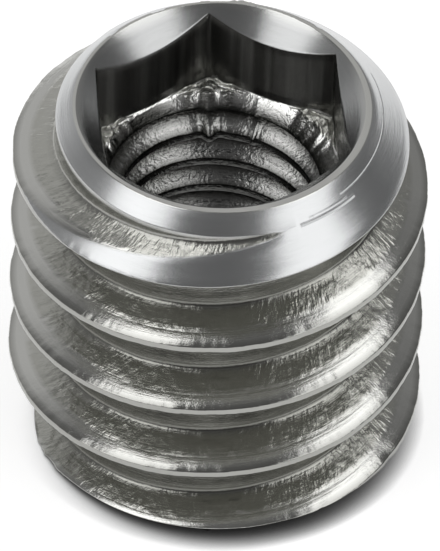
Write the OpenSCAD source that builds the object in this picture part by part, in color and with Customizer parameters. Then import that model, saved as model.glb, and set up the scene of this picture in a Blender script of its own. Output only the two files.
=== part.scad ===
// Threaded insert: one turned piece with a coarse outside thread, a hexagon socket in its top
// and a metric thread through its middle. Millimetres, +Z along the axis, origin at the centre
// of the bottom face. -Y is the front.

/* [Body] */
// Length from the bottom face to the top face
body_len = 13.7; // [12:0.1:18]
// Diameter over the crests of the outside thread
crest_d = 14; // [13.6:0.1:16]
// Diameter at the root of the outside thread
root_d = 11.16; // [11:0.02:12]
// Outer diameter of the flat rim round the top, where the lead-in cone begins
rim_d = 10.04; // [9.9:0.02:10.6]
// Width and height of the 45 degree chamfer at the bottom
foot_chamfer = 0.58; // [0.2:0.02:0.9]

/* [Outside thread] */
// Rise of the outside thread in one turn
pitch = 3; // [2.8:0.05:3.6]
// Width of the narrow flat along the crest
crest_w = 0.25; // [0.15:0.05:0.5]
// Slope of the flank that faces the top, in degrees from level
top_flank = 22.5; // [15:0.5:26]
// Slope of the flank that faces the bottom, in degrees from level
foot_flank = 30; // [20:0.5:32]
// Direction, in degrees from +X, where the middle of the crest leaves the bottom face
thread_start = 247; // [0:1:359]

/* [Hexagon socket] */
// Width across the flats of the socket
hex_af = 8.1; // [7.6:0.05:8.2]
// Depth of the flats below the top face
hex_depth = 3.3; // [2.6:0.1:4.2]
// Direction of one corner of the hexagon, in degrees from +X
hex_turn = 37; // [0:1:59]
// Diameter of the countersink at the top face
mouth_d = 9.7; // [9.5:0.02:9.8]

/* [Bore] */
// Diameter inside the crests of the inside thread
bore_d = 6.65; // [6:0.05:7]
// Diameter of the pilot hole that the hexagon is broached from
pilot_d = 8.1; // [7.6:0.05:8.2]
// Diameter of the countersink at the bottom face
foot_sink_d = 8.3; // [7.6:0.1:9.2]

/* [Hidden] */
$fn = 96;
eps = 0.02;
crest_r = crest_d / 2;
root_r = root_d / 2;
rim_r = rim_d / 2;
bore_r = bore_d / 2;
hex_r = hex_af / 2 / cos(30);
// The ridge is swept a little past the crest and sunk a little into the root, so that the
// turned envelope cuts the crest true and the ridge is one with the core.
overrun = 0.05;
sink = 0.3;
sweep_step = 5;
// Half the height of the ridge where it meets the core, and how far past each end it runs
ridge_reach = crest_w + (crest_r - root_r + sink) * tan(foot_flank);
sweep_from = -ridge_reach * 360 / pitch;
sweep_steps = ceil((body_len + 2 * ridge_reach) * 360 / pitch / sweep_step);

// Corner of the ridge's section: radius r, side +1 on the flank that faces the top, -1 below
function ridge_corner(r, side) =
    [r, side * (crest_w / 2 + (crest_r - r) * tan(side > 0 ? top_flank : foot_flank))];

// The section's four corners, anticlockwise as seen with the axis on the left
ridge_section = [
    ridge_corner(root_r - sink, -1),
    ridge_corner(crest_r + overrun, -1),
    ridge_corner(crest_r + overrun, 1),
    ridge_corner(root_r - sink, 1)
];

// One right-hand helical ridge, longer than the body at both ends
module thread_ridge() {
    corners = len(ridge_section);
    turned = [for (i = [0 : sweep_steps]) sweep_from + i * sweep_step];
    points = [for (a = turned, c = ridge_section)
        [c[0] * cos(thread_start + a), c[0] * sin(thread_start + a), c[1] + pitch * a / 360]];
    walls = [for (i = [0 : sweep_steps - 1], k = [0 : corners - 1], half = [0, 1])
        let (here = i * corners + k, beside = i * corners + (k + 1) % corners)
        half == 0 ? [here, beside, beside + corners] : [here, beside + corners, here + corners]];
    first_end = [for (k = [corners - 1 : -1 : 0]) k];
    last_end = [for (k = [0 : corners - 1]) sweep_steps * corners + k];
    polyhedron(points, concat([first_end], walls, [last_end]));
}

// What the lathe leaves room for: crest diameter, lead-in cone at the top, chamfer at the foot
module turned_envelope() {
    cone_len = crest_r - rim_r;
    rotate_extrude()
        polygon([
            [0, 0],
            [crest_r - foot_chamfer, 0],
            [crest_r, foot_chamfer],
            [crest_r, body_len - cone_len],
            [rim_r, body_len],
            [0, body_len]
        ]);
}

// Countersunk hexagon socket with the pilot hole's cone at its bottom
module drive_socket() {
    sink_len = mouth_d / 2;
    pilot_cone = pilot_d / 2 - bore_r;
    rotate([0, 0, hex_turn])
        translate([0, 0, body_len - hex_depth])
            cylinder(h = hex_depth + eps, r = hex_r, $fn = 6);
    translate([0, 0, body_len - sink_len])
        cylinder(h = sink_len + eps, r1 = 0, r2 = sink_len + eps);
    translate([0, 0, body_len - hex_depth - pilot_cone])
        cylinder(h = pilot_cone, r1 = bore_r, r2 = pilot_d / 2);
}

// Straight bore at the inside thread's minor diameter, countersunk at the foot
module bore() {
    sink_len = foot_sink_d / 2 - bore_r;
    translate([0, 0, -eps])
        cylinder(h = body_len, r = bore_r);
    translate([0, 0, -eps])
        cylinder(h = sink_len + eps, r1 = foot_sink_d / 2 + eps, r2 = bore_r);
}

module insert_body() {
    color([0.62, 0.62, 0.61])
        difference() {
            intersection() {
                turned_envelope();
                union() {
                    cylinder(h = body_len, r = root_r);
                    thread_ridge();
                }
            }
            drive_socket();
            bore();
        }
}

insert_body();
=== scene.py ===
"""Looks of the threaded insert: one turned steel piece, built as a single closed mesh around the
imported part, and the studio that it stands in. The part's sizes are in millimetres, and MM turns
them into metres. Heights are over the bottom face, and directions are degrees from +X."""

import math

import bpy
import numpy as np
from mathutils import Matrix, Vector


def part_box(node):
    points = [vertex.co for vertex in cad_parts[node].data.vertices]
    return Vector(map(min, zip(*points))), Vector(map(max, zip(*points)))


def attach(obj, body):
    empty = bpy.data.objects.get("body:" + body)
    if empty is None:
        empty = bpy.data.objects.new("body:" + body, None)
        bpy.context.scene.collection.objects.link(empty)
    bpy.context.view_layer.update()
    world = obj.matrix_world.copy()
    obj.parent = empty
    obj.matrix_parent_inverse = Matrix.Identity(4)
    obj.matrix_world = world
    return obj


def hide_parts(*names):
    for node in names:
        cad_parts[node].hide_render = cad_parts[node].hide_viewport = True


MM = 0.001

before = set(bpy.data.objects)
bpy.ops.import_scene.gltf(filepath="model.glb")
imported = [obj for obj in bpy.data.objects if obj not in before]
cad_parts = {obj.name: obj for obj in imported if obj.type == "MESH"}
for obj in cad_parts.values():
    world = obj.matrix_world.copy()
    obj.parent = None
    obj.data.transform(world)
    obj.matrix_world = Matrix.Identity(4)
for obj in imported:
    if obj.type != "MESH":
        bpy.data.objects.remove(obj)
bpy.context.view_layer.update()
low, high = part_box("insert_body")

# ---------------------------------------------------------------------------------------------
# Sizes of the part, as in its source
# ---------------------------------------------------------------------------------------------
LENGTH = (high.z - low.z) / MM
CREST_R = (high.x - low.x) / 2 / MM
ROOT_R = 5.58
RIM_R = 5.02
FOOT_CHAMFER = 0.58
PITCH = 3.0
CREST_W = 0.25
TOP_FLANK = math.radians(22.5)
FOOT_FLANK = math.radians(30)
THREAD_START = 247.0

HEX_AF = 8.1
HEX_DEPTH = 3.3
HEX_TURN = 37.0
MOUTH_R = 4.85

BORE_R = 3.325
PILOT_R = 4.05
FOOT_SINK_R = 4.15

# Height of the hexagon's bottom
HEX_Z = LENGTH - HEX_DEPTH

# ---------------------------------------------------------------------------------------------
# What the solid leaves to this file: the inside thread, and the marks of the cut and of use
# ---------------------------------------------------------------------------------------------
# The metric thread in the bore, M8 x 1.25: its land is the width of the flat on its crest
BORE_PITCH = 1.25
BORE_ROOT_R = 4.0
BORE_LAND = 0.31
BORE_FLANK = math.radians(30)
BORE_START = 20.0

# How far the countersink's mouth is off the axis
MOUTH_SHIFT = (-0.07, 0.07)
# Least height of the countersink over the hexagon's walls
LEAST_SINK = 0.02

# Radius at which the rough band of the upper flank ends
ROUGH_R = 6.38
# Depth of the rough band, and of its marks
ROUGH_DEPTH, ROUGH_MARKS = 0.015, 0.007
# Height of the slow waves over the outside
WAVES = 0.008
# How far the crest is worn, and how far its longer and shorter waves vary that
CREST_WEAR, CREST_WAVES, CREST_RIPPLES = 0.012, 0.018, 0.008
# Height of the layers that the broach tears up, and of the crumbs on them
CHIPS, CRUMBS = 0.26, 0.1

# Burrs (raised) and nicks (sunk) on the top edge: direction, half width in degrees, size
RIM_MARKS = (
    (84.0, 6.0, 0.12),
    (117.0, 3.5, -0.1),
    (138.0, 3.0, -0.08),
    (98.0, 2.5, 0.06),
    (52.0, 2.0, -0.06),
)
# Burr on the bottom edge: direction, half width in degrees, size
FOOT_BURR = (243.0, 48.0, 0.055)
# Dents in the top ridge of the bore: direction, half width in degrees, size
BORE_DENTS = ((97.0, 11.0, 0.24), (72.0, 5.0, 0.1))

# A step left where the thread was cut into the lead-in cone, and two fine lines scored above it:
# radius, half width, first and last direction, height
CONE_SCORES = (
    (5.60, 0.05, 299.0, 323.0, 0.04),
    (5.51, 0.04, 303.0, 320.0, -0.015),
    (5.38, 0.025, -42.0, 24.0, -0.012),
)

# ---------------------------------------------------------------------------------------------
# The mesh
# ---------------------------------------------------------------------------------------------
# Columns round the outside; the inside has half as many. A multiple of 12, so that the
# hexagon's corners fall on columns.
COLUMNS = 600
# Where the outside's rows and the inside's rows begin on the bottom face
OUTSIDE_FOOT_R = 4.6
INSIDE_FOOT_R = FOOT_SINK_R + 0.3
# A corner rounded over less than this has no row in its middle
FINE = 0.045
# The least rounding
SHARP = 1e-4
# Points of a column nearer to each other than this are one point
WELD = 1e-6
# A stretch of a section line shorter than this has no direction of its own
NO_STRETCH = 1e-7
# Keeps a division by a length of zero harmless
TINY = 1e-9


# ---------------------------------------------------------------------------------------------
# Noise that is the same in each run
# ---------------------------------------------------------------------------------------------
def lattice(ix, iy, iz, seed):
    """A value from -1 to 1 for each whole-number point, by mixing the bits of its coordinates."""
    n = (ix * 73856093) ^ (iy * 19349663) ^ (iz * 83492791) ^ (seed * 2654435761)
    n = (n ^ (n >> 13)) * 1274126177 & 0x7FFFFFFF
    n = (n ^ (n >> 16)) & 0xFFFF
    return n / 32767.5 - 1


def noise(x, y, z, seed):
    """Smooth noise from -1 to 1 with features about one unit wide."""
    x, y, z = np.broadcast_arrays(x, y, z)
    cell = [np.floor(v).astype(np.int64) for v in (x, y, z)]
    part = [v - c for v, c in zip((x, y, z), cell)]
    ease = [t * t * (3 - 2 * t) for t in part]
    total = 0
    for dx in (0, 1):
        for dy in (0, 1):
            for dz in (0, 1):
                weight = 1
                for t, d in zip(ease, (dx, dy, dz)):
                    weight = weight * (t if d else 1 - t)
                total = total + weight * lattice(cell[0] + dx, cell[1] + dy, cell[2] + dz, seed)
    return total


def ring_noise(turn, count, across, seed):
    """Noise that closes round the axis, with about count features in a radian of turn. across is
    its place across the ring, in features."""
    a = np.radians(turn)
    return noise(np.cos(a) * count, np.sin(a) * count, across, seed)


def smooth(start, end, v):
    """0 where v hasn't reached start, 1 where it is past end, and eased between. End may be the
    lower of the two, and then v counts downwards."""
    t = np.clip((v - start) / (end - start), 0, 1)
    return t * t * (3 - 2 * t)


def turn_from(turn, middle):
    """Degrees from a direction, from -180 to 180."""
    return (turn - middle + 180) % 360 - 180


# ---------------------------------------------------------------------------------------------
# Section lines
# ---------------------------------------------------------------------------------------------
class Thread:
    """A helical ridge between a cone at the top and a cone at the foot, both at 45 degrees. h is
    how far the surface stands out of the metal: the radius outside, minus the radius inside.
    top_h and foot_h are what h would be on the two cones at height 0."""

    def __init__(self, crest, root, land, top_slope, foot_slope, pitch, start, top_h, foot_h):
        self.crest, self.root, self.land = crest, root, land
        self.top_slope, self.foot_slope = top_slope, foot_slope
        self.pitch, self.start = pitch, start
        self.top_h, self.foot_h = top_h, foot_h
        self.z_low = max(0.0, root - foot_h)
        self.z_high = top_h - root

    def offset(self, turn, z):
        """Height above the middle of the nearest crest."""
        middle = self.pitch * (turn - self.start) / 360
        return (z - middle + self.pitch / 2) % self.pitch - self.pitch / 2

    def h(self, turn, z):
        u = self.offset(turn, z)
        above = (u - self.land / 2) * self.top_slope
        below = (-u - self.land / 2) * self.foot_slope
        ridge = self.crest - np.maximum(0, np.maximum(above, below))
        return np.minimum(np.maximum(ridge, self.root), np.minimum(self.top_h - z, self.foot_h + z))

    def corners(self, turn):
        """Heights of the six corners of each ridge, for each column: where the lower flank
        starts and ends, where the crest meets the foot cone and the top cone, and where the
        upper flank starts and ends."""
        top, foot = self.top_slope, self.foot_slope
        depth = self.crest - self.root
        reach = self.land / 2 + depth / min(top, foot)
        first = math.floor((self.z_low - reach) / self.pitch - (turn[-1] - self.start) / 360)
        last = math.ceil((self.z_high + reach) / self.pitch - (turn[0] - self.start) / 360)
        rows = []
        for m in range(first, last + 1):
            middle = self.pitch * ((turn - self.start) / 360 + m)
            b = middle - self.land / 2
            a = b - depth / foot
            c = middle + self.land / 2
            d = c + depth / top
            # The lower flank runs from a to b and the upper one from c to d. Where a cone cuts
            # a flank, its end on the crest moves to the cut.
            b = np.minimum(b, (self.top_h - self.root + a * foot) / (1 + foot))
            b = np.maximum(a, np.minimum(b, (self.foot_h - self.root + a * foot) / (foot - 1)))
            c = np.maximum(c, (self.root + d * top - self.top_h) / (top - 1))
            c = np.minimum(d, np.maximum(c, (self.root + d * top - self.foot_h) / (top + 1)))
            c = np.maximum(b, c)
            foot_cut = np.clip(self.crest - self.foot_h, b, c)
            top_cut = np.clip(self.top_h - self.crest, b, c)
            rows += [a, b, foot_cut, top_cut, c, d]
        z = np.clip(np.stack(rows, 1), self.z_low, self.z_high)
        return z, self.h(turn[:, None], z)


def ramp(x, w):
    """The larger of 0 and x, with the corner between them rounded over w to each side."""
    return np.where(np.abs(x) < w, (x + w) ** 2 / (4 * w), np.maximum(0, x))


def ramp_slope(x, w):
    return np.clip((x + w) / (2 * w), 0, 1)


def trace(z, h, rounding, between):
    """Walks each column's polyline of corners (z, h), with corner k rounded over rounding[k], and
    returns points and normals: rows where the rounding starts and ends, one in its middle if
    it is wider than FINE, and between[k] rows after it, given as parts of the way to the next."""
    step = np.stack([np.diff(z, axis=1), np.diff(h, axis=1)], -1)
    length = np.linalg.norm(step, axis=-1)
    nothing = np.zeros(len(z))
    run = np.concatenate([nothing[:, None], np.cumsum(length, 1)], 1)
    # A stretch without a length takes the direction of the one before it, or else after it
    unit = step / np.maximum(length, TINY)[..., None]
    missing = length < NO_STRETCH
    for k in range(1, unit.shape[1]):
        unit[missing[:, k], k] = unit[missing[:, k], k - 1]
    for k in range(unit.shape[1] - 2, -1, -1):
        blank = np.abs(unit[:, k]).sum(-1) < 0.5
        unit[blank, k] = unit[blank, k + 1]
    bend = np.diff(unit, axis=1)

    rows = []
    last = z.shape[1] - 1
    for k in range(last + 1):
        before = np.minimum(rounding[k], length[:, k - 1] / 2) if k else nothing
        after = np.minimum(rounding[k], length[:, k] / 2) if k < last else nothing
        if k:
            rows.append(run[:, k] - before)
        if k in (0, last) or rounding[k] > FINE:
            rows.append(run[:, k])
        if k < last:
            start = run[:, k] + after
            end = run[:, k + 1] - np.minimum(rounding[k + 1], length[:, k] / 2)
            rows += [start] + [start * (1 - t) + end * t for t in between[k]]
    s = np.stack(rows, 1)
    point = np.stack([z[:, :1] + unit[:, :1, 0] * s, h[:, :1] + unit[:, :1, 1] * s], -1)
    tangent = np.repeat(unit[:, :1], s.shape[1], 1)
    for k in range(1, last):
        past = s - run[:, k : k + 1]
        w = max(rounding[k], SHARP)
        point += ramp(past, w)[..., None] * bend[:, None, k - 1]
        tangent += ramp_slope(past, w)[..., None] * bend[:, None, k - 1]
    normal = np.stack([-tangent[..., 1], tangent[..., 0]], -1)
    normal /= np.maximum(np.linalg.norm(normal, axis=-1), TINY)[..., None]
    return point, normal


def corner_rows(corners, n, turn):
    """Value n of each corner, which is one number or a number for each column, as rows."""
    return np.stack([np.broadcast_to(corner[n], turn.shape) for corner in corners], 1)


def trace_section(turn, thread, side, foot, ridge, top):
    """Points and normals of a thread with what lies below and above it. foot and top are lists
    of corners: height, radius, rounding, and the rows after it. ridge has the last two for each
    of a ridge's six corners. side is 1 outside and -1 inside."""
    z, h = thread.corners(turn)
    ridges = z.shape[1] // len(ridge)
    z = np.concatenate([corner_rows(foot, 0, turn), z, corner_rows(top, 0, turn)], 1)
    h = np.concatenate([side * corner_rows(foot, 1, turn), h, side * corner_rows(top, 1, turn)], 1)
    finish = [corner[2:] for corner in foot] + ridge * ridges + [corner[2:] for corner in top]
    rounding, between = zip(*finish)
    return trace(z, h, rounding, between)


# ---------------------------------------------------------------------------------------------
# Rows and columns to a mesh
# ---------------------------------------------------------------------------------------------
class Skin:
    """Collects points, faces and per-point values of one closed mesh."""

    def __init__(self):
        self.points, self.values, self.faces = [], [], []
        self.count = 0

    def add_grid(self, xyz, values, flip):
        """A grid closed round the axis, whose last column lies on its first. Rows that run
        together at an end are one point there. Returns the point numbers of the grid."""
        columns, rows = xyz.shape[:2]
        apart = np.linalg.norm(np.diff(xyz, axis=1), axis=-1) > WELD
        keep = np.concatenate([np.ones((columns, 1), bool), apart], 1)
        keep[-1] = False
        number = (np.cumsum(keep.ravel()) - 1).reshape(columns, rows) + self.count
        gap = np.linalg.norm(xyz[-1][:, None] - xyz[0][None], axis=-1)
        number[-1] = number[0][gap.argmin(1)]
        self.points.append(xyz[keep])
        self.values.append(values[keep])
        self.count += int(keep.sum())
        a, b = number[:-1, :-1], number[1:, :-1]
        c, d = number[1:, 1:], number[:-1, 1:]
        quads = np.stack([a, b, c, d], -1).reshape(-1, 4)
        self.add_faces(quads[:, ::-1] if flip else quads)
        return number

    def add_faces(self, polygons):
        """Keeps each polygon's different points, and drops what is left with fewer than three."""
        for polygon in polygons.tolist():
            face = [p for n, p in enumerate(polygon) if p != polygon[n - 1]]
            if len(face) > 2 and len(set(face)) == len(face):
                self.faces.append(face)

    def stitch(self, wide, narrow, flip):
        """Joins a ring of 2n points to a ring of n points with triangles."""
        for j in range(len(narrow) - 1):
            w0, w1, w2 = wide[2 * j : 2 * j + 3]
            n0, n1 = narrow[j : j + 2]
            for face in ([w0, w1, n0], [w1, n1, n0], [w1, w2, n1]):
                self.faces.append(face[::-1] if flip else face)


def directions(columns):
    """Directions of the columns, from a corner of the hexagon right round to it again."""
    return HEX_TURN + np.arange(columns + 1) * 360 / columns


def cylinder_points(turn, z, r):
    """Points in space from directions, heights and radii."""
    a = np.radians(turn)
    return np.stack([r * np.cos(a), r * np.sin(a), z], -1)


def hex_wall(turn):
    """Radius of the hexagon's wall in a direction."""
    return HEX_AF / 2 / np.cos(np.radians((turn - HEX_TURN) % 60 - 30))


def mouth_radius(turn):
    """Radius of the countersink's mouth in a direction."""
    a = np.radians(turn)
    return MOUTH_R + MOUTH_SHIFT[0] * np.cos(a) + MOUTH_SHIFT[1] * np.sin(a)


# ---------------------------------------------------------------------------------------------
# The outside
# ---------------------------------------------------------------------------------------------
outside = Thread(
    crest=CREST_R,
    root=ROOT_R,
    land=CREST_W,
    top_slope=1 / math.tan(TOP_FLANK),
    foot_slope=1 / math.tan(FOOT_FLANK),
    pitch=PITCH,
    start=THREAD_START,
    top_h=RIM_R + LENGTH,
    foot_h=CREST_R - FOOT_CHAMFER,
)


def outside_grid():
    """Directions, points and normals, from the bottom face up the thread and over the lead-in
    cone to the top face."""
    turn = directions(COLUMNS)
    crest_edge = 0.044
    foot = [(0, OUTSIDE_FOOT_R, 0.02, (0.4, 0.8))]
    ridge = [
        (0.16, (0.33, 0.67)),
        (crest_edge, (0.3, 0.6)),
        (crest_edge, ()),
        (crest_edge, (0.25, 0.5, 0.75)),
        (crest_edge, (0.18, 0.36, 0.50, 0.66, 0.84)),
        (0.12, (0.35, 0.7)),
    ]
    top = [
        (outside.z_high, ROOT_R, 0.04, (0.33, 0.67)),
        (LENGTH, RIM_R, 0.035, ()),
        (LENGTH, RIM_R - 0.06, 0.02, ()),
    ]
    point, normal = trace_section(turn, outside, 1, foot, ridge, top)
    return turn[:, None], point, normal


def add_burrs(turn, z, r):
    """Radii with the burrs and nicks of the edge between the lead-in cone and the top face, and
    the ragged burr of the bottom edge, in front and on the left."""
    rim = smooth(0.16, 0.0, LENGTH - z) * smooth(RIM_R - 0.1, RIM_R - 0.02, r)
    ragged = 0.55 + 0.45 * ring_noise(turn, 55, 0.0, 9)
    for middle, width, size in RIM_MARKS:
        r = r + rim * size * ragged * smooth(1.0, 0.5, np.abs(turn_from(turn, middle)) / width)
    middle, width, size = FOOT_BURR
    foot_r = CREST_R - FOOT_CHAMFER
    edge = smooth(0.14, 0.0, z) * smooth(foot_r - 0.12, foot_r, r)
    ragged = np.maximum(0, 0.5 + ring_noise(turn, 30, 0.0, 10) + 0.5 * ring_noise(turn, 75, 0.0, 11))
    return r + edge * size * ragged * smooth(1.0, 0.6, np.abs(turn_from(turn, middle)) / width)


def outside_finish(turn, point, normal):
    """Moves the outside's points by the marks of the cut, and gives the values that its
    material reads."""
    z, r = point[..., 0], point[..., 1]
    u = outside.offset(turn, z)
    on_cone = smooth(0.03, 0.0, (RIM_R + LENGTH - z) - r)
    on_end = np.maximum(smooth(0.02, 0.0, z), smooth(0.02, 0.0, LENGTH - z))
    upper = smooth(0.12, 0.2, u) * (1 - on_cone) * (1 - on_end)
    # The upper flank: a rough band next to the root, cut smooth again towards the crest
    edge = ROUGH_R + 0.07 * ring_noise(turn, 14, z * 0.8, 3) + 0.05 * ring_noise(turn, 40, z, 4)
    rough = upper * smooth(0.05, -0.05, r - edge) * smooth(ROOT_R - 0.02, ROOT_R + 0.1, r)
    push = rough * (ROUGH_MARKS * ring_noise(turn, 26, r * 2.2 + z, 5) - ROUGH_DEPTH)
    # Slow waves on all but the end faces, and a crest that isn't quite even
    push += WAVES * ring_noise(turn, 5, z * 1.3, 6) * (1 - on_end)
    crest = smooth(CREST_R - 0.25, CREST_R, r)
    waves, ripples = ring_noise(turn, 16, z * 1.5, 7), ring_noise(turn, 60, z * 3, 8)
    push -= crest * (CREST_WEAR + CREST_WAVES * waves + CREST_RIPPLES * ripples)
    z = z + push * normal[..., 0]
    r = r + push * normal[..., 1]
    r = np.minimum(add_burrs(turn, z, r), CREST_R)
    z = np.clip(z, 0, LENGTH)

    # Place across the tool's lines, which run round the part
    lay = np.where(on_cone + on_end > 0.5, r, r - 0.7 * np.abs(u))
    # Painted shade and dark reflection: dark colour on the underside of the ridges and on the root,
    # less of it near the top; on the crest there is half as much
    under = smooth(0.05, -0.1, u) * smooth(CREST_R - 0.02, CREST_R - 0.3, r)
    under = under * smooth(ROOT_R, ROOT_R + 0.1, r)
    on_root = smooth(ROOT_R + 0.16, ROOT_R + 0.02, r)
    on_root = on_root * (0.58 + 0.27 * smooth(LENGTH - 1.2, LENGTH - 4.2, z))
    # painted_shade holds painted shade and dark reflection, not a real coating
    painted_shade = np.maximum(np.maximum(on_root, under), 0.5 * crest) * (1 - on_cone) * (1 - on_end)
    values = np.stack(np.broadcast_arrays(lay, rough, on_cone, 0 * lay, painted_shade), -1)
    return cylinder_points(turn, z, r), values


# ---------------------------------------------------------------------------------------------
# The inside
# ---------------------------------------------------------------------------------------------
inside = Thread(
    crest=-BORE_R,
    root=-BORE_ROOT_R,
    land=BORE_LAND,
    top_slope=1 / math.tan(BORE_FLANK),
    foot_slope=1 / math.tan(BORE_FLANK),
    pitch=BORE_PITCH,
    start=BORE_START,
    top_h=HEX_Z - PILOT_R,
    foot_h=-FOOT_SINK_R,
)


def inside_grid():
    """Directions and points, from the bottom face up the bore, the hexagon and the countersink
    to the top face."""
    turn = directions(COLUMNS // 2)
    wall = hex_wall(turn)
    mouth = mouth_radius(turn)
    rim = np.minimum(mouth + 0.05, RIM_R - 0.09)
    mouth = np.minimum(mouth, rim - 0.03)
    sink_z = LENGTH - np.maximum(mouth - wall, LEAST_SINK)
    crest_edge = 0.04
    foot = [(0, INSIDE_FOOT_R, 0.02, ()), (0, FOOT_SINK_R, 0.04, ())]
    ridge = [
        (0, ()),
        (crest_edge, ()),
        (crest_edge, ()),
        (crest_edge, ()),
        (crest_edge, (0.3,)),
        (0, ()),
    ]
    top = [
        (inside.z_high, BORE_ROOT_R, 0.02, ()),
        (HEX_Z, PILOT_R, 0.03, (0.3, 0.5, 0.65, 0.8, 0.9)),
        (HEX_Z, np.maximum(wall, PILOT_R), 0.05, (0.12, 0.25, 0.38, 0.5, 0.62, 0.75, 0.88)),
        (sink_z, wall, 0.025, (0.08, 0.33, 0.67)),
        (LENGTH, mouth, 0.02, ()),
        (LENGTH, rim, 0.01, ()),
    ]
    point, _ = trace_section(turn, inside, -1, foot, ridge, top)
    return turn[:, None], point


def broach_chips(turn, z, r):
    """The layers that the broach tears up in the corners at the hexagon's bottom and just below,
    parallel to its walls: where they are, from 0 to 1, and how high they stand."""
    from_wall = HEX_AF / 2 - r * np.cos(np.radians((turn - HEX_TURN) % 60 - 30))
    to_corner = np.abs((turn - HEX_TURN + 30) % 60 - 30)
    torn = smooth(0.4, 0.05, np.abs(z - HEX_Z)) * smooth(20, 10, to_corner)
    torn = torn * smooth(0.0, 0.04, from_wall)
    torn = torn * smooth(PILOT_R - 0.2, PILOT_R, r)
    warp = ring_noise(turn, 12, r * 2, 21)
    layer = 0.5 + 0.5 * np.sin(2 * math.pi * (from_wall * 4.4 + 0.35 * warp))
    crumb = ring_noise(turn, 18, r * 6, 22)
    return torn, torn * (CHIPS * layer * (0.7 + 0.4 * warp) + CRUMBS * crumb)


def dent_depth(turn, z, r):
    """How far the dents push the top ridge of the bore down."""
    u = inside.offset(turn, z)
    ridge = smooth(BORE_ROOT_R, BORE_R, r) * smooth(0.5, 0.2, np.abs(u))
    ridge = ridge * smooth(HEX_Z - 1.9, HEX_Z - 1.4, z)
    depth = 0
    for middle, width, size in BORE_DENTS:
        off = turn_from(turn, middle)
        depth = depth + ridge * size * smooth(1.0, 0.0, np.abs(off) / width) * np.cos(off / width * 4)
    return depth


def inside_finish(turn, point):
    """Moves the inside's points by the marks of the broach and of use, and gives the values that
    its material reads."""
    z, r = point[..., 0], -point[..., 1]
    torn, chips = broach_chips(turn, z, r)
    z = z + chips
    z = z - dent_depth(turn, z, r)

    # Place across the tool's lines, which run round the part
    lay = np.where(z > HEX_Z + 0.1, r, 0.6 * z + r)
    wall = hex_wall(turn)
    sink_z = LENGTH - np.maximum(mouth_radius(turn) - wall, LEAST_SINK)
    on_wall = smooth(0.05, 0.02, np.abs(r - wall)) * smooth(sink_z + 0.03, sink_z - 0.03, z)
    broached = smooth(HEX_Z, HEX_Z + 0.05, z) * on_wall
    sunk = smooth(sink_z - 0.02, sink_z + 0.03, z) * smooth(LENGTH, LENGTH - 0.03, z)
    # Painted shade and dark reflection. In the bore it is thick in the grooves, under the ridges and on
    # their crests, and elsewhere darker with depth. A little lies on the countersink.
    in_bore = smooth(HEX_Z + 0.12, HEX_Z + 0.02, z)
    under = smooth(0.06, -0.06, inside.offset(turn, z)) * smooth(BORE_R + 0.02, BORE_R + 0.12, r)
    under = under * (z < inside.z_high)
    groove = smooth(BORE_R + 0.12, BORE_R + 0.32, r)
    crest = 0.9 * smooth(BORE_R + 0.07, BORE_R + 0.03, r)
    on_thread = np.maximum(groove, crest) * (z < inside.z_high - 0.1)
    deep = 0.08 + 0.5 * smooth(HEX_Z - 2.2, HEX_Z - 4.6, z)
    painted_shade = np.maximum(in_bore * np.maximum(deep, np.maximum(under, on_thread)), 0.3 * sunk)
    values = np.stack(np.broadcast_arrays(lay, torn, sunk, broached, painted_shade), -1)
    return cylinder_points(turn, z, r), values


# ---------------------------------------------------------------------------------------------
# The piece
# ---------------------------------------------------------------------------------------------
# What is stored for each point: its place across the tool's lines, and from 0 to 1, how much it is cut
# rough, on a cone, on a broached wall, and darkened by painted shade
VALUES = ("lay", "rough_cut", "on_cone", "broached", "painted_shade")


def build_insert():
    skin = Skin()
    xyz, values = outside_finish(*outside_grid())
    outer = skin.add_grid(xyz, values, flip=False)
    xyz, values = inside_finish(*inside_grid())
    inner = skin.add_grid(xyz, values, flip=True)
    skin.stitch(outer[:, 0], inner[:, 0], flip=True)
    skin.stitch(outer[:, -1], inner[:, -1], flip=False)
    mesh = bpy.data.meshes.new("threaded_insert")
    points = np.concatenate(skin.points) * MM
    mesh.from_pydata(points.tolist(), [], skin.faces)
    values = np.concatenate(skin.values).astype(np.float32)
    for n, name in enumerate(VALUES):
        mesh.attributes.new(name, "FLOAT", "POINT").data.foreach_set("value", values[:, n])
    mesh.validate()
    mesh.shade_smooth()
    obj = bpy.data.objects.new("threaded_insert", mesh)
    bpy.context.scene.collection.objects.link(obj)
    return obj


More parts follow.
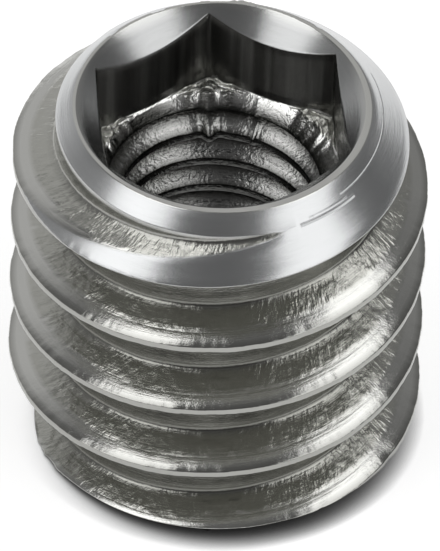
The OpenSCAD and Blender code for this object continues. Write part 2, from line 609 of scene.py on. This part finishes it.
# ---------------------------------------------------------------------------------------------
# Materials
# ---------------------------------------------------------------------------------------------
class Nodes:
    """Short names for making the nodes of a material or a world, which it first clears."""

    def __init__(self, owner):
        owner.use_nodes = True
        self.tree = owner.node_tree
        self.tree.nodes.clear()

    def feed(self, socket, value):
        """Links a socket to another node's output, or sets it to a plain value."""
        if isinstance(value, bpy.types.NodeSocket):
            self.tree.links.new(value, socket)
        else:
            socket.default_value = value

    def add(self, kind, **inputs):
        node = self.tree.nodes.new(kind)
        for name, value in inputs.items():
            self.feed(node.inputs[name], value)
        return node

    def math(self, operation, *values):
        node = self.tree.nodes.new("ShaderNodeMath")
        node.operation = operation
        for socket, value in zip(node.inputs, values):
            self.feed(socket, value)
        return node.outputs[0]

    def plus(self, first, *others):
        for other in others:
            first = self.math("ADD", first, other)
        return first

    def times(self, first, *others):
        for other in others:
            first = self.math("MULTIPLY", first, other)
        return first

    def minus(self, a, b):
        return self.math("SUBTRACT", a, b)

    def attribute(self, name):
        node = self.tree.nodes.new("ShaderNodeAttribute")
        node.attribute_name = name
        return node.outputs["Fac"]

    def vector(self, x, y, z):
        return self.add("ShaderNodeCombineXYZ", X=x, Y=y, Z=z).outputs[0]

    def noise(self, place, scale, detail=2.0, rough=0.5):
        node = self.add("ShaderNodeTexNoise", Vector=place, Scale=scale, Detail=detail, Roughness=rough)
        return node.outputs["Fac"]

    def blend(self, amount, a, b):
        """From number a to number b."""
        return self.add("ShaderNodeMix", Factor=amount, A=a, B=b).outputs["Result"]

    def colours(self, amount, a, b):
        """From colour a to colour b, whose sockets share their names with a number's."""
        node = self.tree.nodes.new("ShaderNodeMix")
        node.data_type = "RGBA"
        for index, value in ((0, amount), (6, a), (7, b)):
            self.feed(node.inputs[index], value)
        return node.outputs[2]


# Colour and roughness of the plain turned steel, and of what differs from it
TURNED = ((0.61, 0.61, 0.585, 1), 0.11)
ROUGH_CUT = ((0.49, 0.49, 0.455, 1), 0.22)
# In the bore the steel is paler than elsewhere: a painted brighter reflection on its thread bands
BORE_PAINTED_BRIGHT = ((0.82, 0.82, 0.8, 1), 0.2)
ON_CONE = ((0.54, 0.547, 0.551, 1), 0.25)
# The broached walls: colours of their streaks, both kept dark as painted shade of the socket, and
# roughness
DARK_STREAK_SHADED, PALE_STREAK_SHADED = (0.12, 0.12, 0.112, 1), (0.34, 0.34, 0.325, 1)
BROACHED_ROUGHNESS = 0.25
# Colour of the painted shade and dark reflection outside and in the bore
PAINTED_SHADE_COLOUR = (0.095, 0.095, 0.082, 1)
BORE_PAINTED_SHADE_COLOUR = (0.022, 0.022, 0.019, 1)
# How far the fine lines vary the roughness
SHEEN = 0.08
# Least share of the painted shade that is kept, and how much more of it lies along the lines
PAINTED_SHADE_LEAST, PAINTED_SHADE_PATCHES = 0.82, 0.3
# Heights in the bump: lines of the cut, finer lines, lumps in the bore, chatter, grain
LINES, FINE_LINES, LUMPS, CHATTER, GRAIN = 0.0055, 0.0014, 0.026, 0.03, 0.0042
# Features in a metre, for noise that is placed in space
UNEVEN_SCALE, LUMP_SCALE, GRAIN_SCALE = 1300.0, 6500.0, 14000.0
# Lines of the cut: features in a millimetre across them, and in a radian along them
LINES_ACROSS, LINES_ROUND = 9.0, 1.6
# Marks of chatter: their lean in radians and the features along them, both for a metre of
# radius, and features in a radian
CHATTER_LEAN, CHATTER_ALONG, CHATTER_ROUND = 45.0, 2600.0, 34.0
# Streaks of a broached wall: features in a radian, and in a metre down the wall
STREAKS_ROUND, STREAKS_DOWN = 9.0, 60.0


def scored(n, radius, turn, r, width, first, last, size):
    """Height of a line scored round the axis at radius r between two directions."""
    off = n.math("ABSOLUTE", n.minus(radius, r * MM))
    depth = n.math("MAXIMUM", 0.0, n.minus(1.0, n.math("DIVIDE", off, width * MM)))
    middle, half = math.radians((first + last) / 2), math.radians((last - first) / 2)
    facing = n.math("COSINE", n.minus(turn, middle))
    near = n.math("GREATER_THAN", facing, math.cos(half))
    return n.times(depth, near, size)


def chatter_marks(n, place, radius, turn):
    """Slanted marks of the tool's chatter, deeper in some places than in others."""
    slant = n.plus(turn, n.times(radius, CHATTER_LEAN))
    across = n.vector(
        n.times(n.math("COSINE", slant), CHATTER_ROUND),
        n.times(n.math("SINE", slant), CHATTER_ROUND),
        n.times(radius, CHATTER_ALONG),
    )
    uneven = n.math("MAXIMUM", 0.1, n.minus(n.times(n.noise(place, UNEVEN_SCALE), 3.2), 0.75))
    return n.times(n.noise(across, 1.0, 2.5, 0.6), uneven)


def broached_wall(n, ring, z):
    """Colour of a broached wall, with streaks down it, kept dark overall as painted shade of the
    socket.
    """
    cosine, sine = (n.times(part, STREAKS_ROUND) for part in ring)
    streaks = n.noise(n.vector(cosine, sine, n.times(z, STREAKS_DOWN)), 1.0)
    contrast = n.plus(0.5, n.times(n.minus(streaks, 0.5), 4.0))
    return n.colours(n.math("MINIMUM", 1.0, n.math("MAXIMUM", 0.0, contrast)), DARK_STREAK_SHADED, PALE_STREAK_SHADED)


def turned_steel():
    material = bpy.data.materials.new("turned_steel")
    n = Nodes(material)
    place = n.add("ShaderNodeTexCoord").outputs["Object"]
    x, y, z = n.add("ShaderNodeSeparateXYZ", Vector=place).outputs
    turn = n.math("ARCTAN2", y, x)
    ring = n.math("COSINE", turn), n.math("SINE", turn)
    radius = n.math("SQRT", n.plus(n.times(x, x), n.times(y, y)))
    lay, rough_cut, on_cone, broached, painted_shade = (n.attribute(name) for name in VALUES)
    in_bore = n.times(
        n.math("LESS_THAN", radius, (MOUTH_R - 0.05) * MM),
        n.math("LESS_THAN", z, (HEX_Z + 0.03) * MM),
    )

    # Lines of the cut, long round the part and fine across it
    along = n.vector(n.times(lay, LINES_ACROSS), *(n.times(part, LINES_ROUND) for part in ring))
    lines = n.noise(along, 1.0, 4.0, 0.65)
    fine = n.noise(along, 4.0)
    lumps = n.times(n.noise(place, LUMP_SCALE, 2.5, 0.6), in_bore)
    chatter = n.times(chatter_marks(n, place, radius, turn), rough_cut)
    grain = n.noise(place, GRAIN_SCALE, 3.0, 0.6)
    height = n.plus(
        n.times(lines, LINES),
        n.times(lumps, LUMPS),
        n.times(fine, FINE_LINES),
        n.times(chatter, CHATTER),
        n.times(grain, GRAIN, n.minus(1.0, on_cone)),
        *(n.times(on_cone, scored(n, radius, turn, *score)) for score in CONE_SCORES),
    )
    bump = n.add("ShaderNodeBump", Height=n.times(height, MM), Strength=1.0, Distance=1.0)

    # Each region's colour and roughness are laid over those before it
    colour, roughness = TURNED
    for amount, (tone, dullness) in ((rough_cut, ROUGH_CUT), (in_bore, BORE_PAINTED_BRIGHT), (on_cone, ON_CONE)):
        colour = n.colours(amount, colour, tone)
        roughness = n.blend(amount, roughness, dullness)
    # Painted shade: darkens the colour where the painted_shade value is high, patchy along the lines
    patchy = n.times(painted_shade, n.plus(PAINTED_SHADE_LEAST, n.times(lines, PAINTED_SHADE_PATCHES)))
    colour = n.colours(patchy, colour, n.colours(in_bore, PAINTED_SHADE_COLOUR, BORE_PAINTED_SHADE_COLOUR))
    colour = n.colours(broached, colour, broached_wall(n, ring, z))
    roughness = n.blend(broached, roughness, BROACHED_ROUGHNESS)
    roughness = n.plus(roughness, n.times(n.minus(fine, 0.5), SHEEN))
    shader = n.add(
        "ShaderNodeBsdfPrincipled",
        **{"Base Color": colour, "Roughness": roughness, "Normal": bump.outputs[0], "Metallic": 1.0},
    )
    n.add("ShaderNodeOutputMaterial", Surface=shader.outputs[0])
    return material


# ---------------------------------------------------------------------------------------------
# Studio, in metres
# ---------------------------------------------------------------------------------------------
FLOOR_SIZE = 4.0
# How far the floor lies under the part, so that the two faces aren't in one plane
FLOOR_GAP = 0.00001
# Darkest and palest speckles of the floor, and speckles in a metre
FLOOR_TONES = ((0.63, 0.63, 0.63, 1), (0.65, 0.65, 0.65, 1))
FLOOR_SPECKLES = 40.0
# What is added to the lit floor to make it white
FLOOR_GLOW = 0.68
# How close over the floor something must stand to darken it with the painted contact shadow
CONTACT = 0.0008
# How far the open sky of the painted contact shadow leans in from behind the part
PAINTED_SHADOW_LEAN = math.radians(50)
# Power of the open sky over a place in the floor's colour there, and in its glow: the painted contact
# shadow
COLOUR_SHADE, GLOW_SHADE = 1.4, 2.8

# Strength of the room all round, and of the backdrop behind the part
ROOM, BACKDROP = 0.15, 0.48
# How far back a direction points where the backdrop begins, and where it is full
BACKDROP_FROM, BACKDROP_FULL = 0.2, 0.66
# Share of the backdrop on the left, how fast it falls to the right, and the least share
LEFT_SHARE, FADE, LEAST_SHARE = 0.85, 1.5, 0.25
# How far left a direction points where the wall on the left begins, and how fast that gets paler
LEFT_WALL_FROM, LEFT_WALL = 0.65, 0.6

# Watts of lamp for a square metre of softbox at a radiance of 1
WATTS = 4.0
# Name, upper inner corner, lean and slope in degrees, width, length, radiance
SOFTBOXES = (
    ("left_softbox", (-0.057, 0.085, 0.66), 13, 62, 0.223, 0.63, 1.35),
    ("right_softbox", (0.087, 0.222, 0.66), -1, 58, 0.275, 0.72, 1.22),
)

CAMERA_DISTANCE = 0.55
CAMERA_RISE = math.radians(45.5)
CAMERA_ROLL = math.radians(1.9)
# Height of what the picture shows, at the part
VIEW_TALL = 18.615 * MM
# The middle of the picture: height on the axis, and from there right and up in the picture
AIM_HEIGHT = 4.68 * MM
AIM_RIGHT, AIM_UP = 0.1216 * MM, 0.6723 * MM


def make_floor():
    """A white sheet with a painted soft shadow: its colour and its glow are darkened where something
    stands close over it. The camera, metal and glass see it alike: its lit colour, raised to white
    where nothing stands close over it."""
    bpy.ops.mesh.primitive_plane_add(size=FLOOR_SIZE, location=(0, 0, -FLOOR_GAP))
    floor = bpy.context.object
    floor.name = "studio_floor"
    material = bpy.data.materials.new("white_floor")
    n = Nodes(material)
    path = n.add("ShaderNodeLightPath").outputs
    seen = n.math("MAXIMUM", path["Is Glossy Ray"], path["Is Transmission Ray"])
    seen = n.math("MAXIMUM", path["Is Camera Ray"], seen)
    sky = n.vector(0.0, math.sin(PAINTED_SHADOW_LEAN), math.cos(PAINTED_SHADOW_LEAN))
    # Painted contact shadow: ambient occlusion darkens the floor's colour and its glow near the part
    open_sky = n.add("ShaderNodeAmbientOcclusion", Distance=CONTACT, Normal=sky).outputs["AO"]
    speckle = n.noise(n.add("ShaderNodeTexCoord").outputs["Object"], FLOOR_SPECKLES)
    shade = n.math("POWER", open_sky, COLOUR_SHADE)
    colour = n.colours(shade, (0, 0, 0, 1), n.colours(speckle, *FLOOR_TONES))
    matt = n.add("ShaderNodeBsdfDiffuse", Color=colour)
    strength = n.times(seen, n.times(n.math("POWER", open_sky, GLOW_SHADE), FLOOR_GLOW))
    glow = n.add("ShaderNodeEmission", Color=(1, 1, 1, 1), Strength=strength)
    both = n.add("ShaderNodeAddShader")
    n.feed(both.inputs[0], matt.outputs[0])
    n.feed(both.inputs[1], glow.outputs[0])
    n.add("ShaderNodeOutputMaterial", Surface=both.outputs[0])
    floor.data.materials.append(material)


def make_world():
    """A dim room with a pale backdrop behind the part, which fades to the right, and a paler
    wall far on the left. Every ray sees the same room."""
    world = bpy.data.worlds.new("studio")
    bpy.context.scene.world = world
    n = Nodes(world)
    direction = n.add("ShaderNodeTexCoord").outputs["Generated"]
    side, back, _ = n.add("ShaderNodeSeparateXYZ", Vector=direction).outputs
    edges = {"From Min": BACKDROP_FROM, "From Max": BACKDROP_FULL, "To Min": 0.0, "To Max": BACKDROP}
    behind = n.add("ShaderNodeMapRange", Value=back, **edges)
    behind.interpolation_type = "SMOOTHSTEP"
    share = n.minus(LEFT_SHARE, n.times(n.math("MAXIMUM", side, 0.0), FADE))
    backdrop = n.times(behind.outputs[0], n.math("MAXIMUM", LEAST_SHARE, share))
    far_left = n.math("MAXIMUM", 0.0, n.minus(n.times(side, -1.0), LEFT_WALL_FROM))
    room = n.plus(ROOM, backdrop, n.times(far_left, LEFT_WALL))
    background = n.add("ShaderNodeBackground", Color=(1, 1, 1, 1), Strength=room)
    n.add("ShaderNodeOutputWorld", Surface=background.outputs[0])


def make_softbox(name, corner, lean, slope, width, length, radiance):
    """A flat softbox that slopes down towards the front. corner is its upper inner corner, width
    its size away from the part and length its size down the slope. lean turns the slope from
    straight ahead towards the softbox's own side, and slope is its angle below level."""
    lean, slope = math.radians(lean), math.radians(slope)
    side = math.copysign(1, corner[0])
    ahead = Vector((side * math.sin(lean), -math.cos(lean), 0))
    outward = Vector((side * math.cos(lean), math.sin(lean), 0))
    down = ahead * math.cos(slope) - Vector((0, 0, math.sin(slope)))
    centre = Vector(corner) + outward * (width / 2) + down * (length / 2)
    across = outward * side
    light = bpy.data.lights.new(name, "AREA")
    light.shape = "RECTANGLE"
    light.size = width
    light.size_y = length
    light.energy = radiance * WATTS * width * length
    obj = bpy.data.objects.new(name, light)
    bpy.context.scene.collection.objects.link(obj)
    turn = Matrix((across, -down, across.cross(-down))).transposed()
    obj.matrix_world = Matrix.Translation(centre) @ turn.to_4x4()


def make_camera():
    """Looks down at the part from the front, from so far off that parallel lines stay nearly
    parallel."""
    back = Vector((0, -math.cos(CAMERA_RISE), math.sin(CAMERA_RISE)))
    level = Vector((1, 0, 0))
    rise = Vector((0, math.sin(CAMERA_RISE), math.cos(CAMERA_RISE)))
    right = level * math.cos(CAMERA_ROLL) + rise * math.sin(CAMERA_ROLL)
    up = rise * math.cos(CAMERA_ROLL) - level * math.sin(CAMERA_ROLL)
    aim = Vector((0, 0, AIM_HEIGHT)) + right * AIM_RIGHT + up * AIM_UP
    data = bpy.data.cameras.new("camera")
    data.sensor_width = 36.0
    data.lens = data.sensor_width * CAMERA_DISTANCE / VIEW_TALL
    data.clip_start, data.clip_end = 0.01, 10
    camera = bpy.data.objects.new("camera", data)
    bpy.context.scene.collection.objects.link(camera)
    turn = Matrix((right, up, back)).transposed()
    camera.matrix_world = Matrix.Translation(aim + back * CAMERA_DISTANCE) @ turn.to_4x4()
    bpy.context.scene.camera = camera


insert = build_insert()
insert.data.materials.append(turned_steel())
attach(insert, "root")
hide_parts("insert_body")

make_floor()
make_world()
for softbox in SOFTBOXES:
    make_softbox(*softbox)
make_camera()
bpy.context.scene.view_settings.view_transform = "Standard"
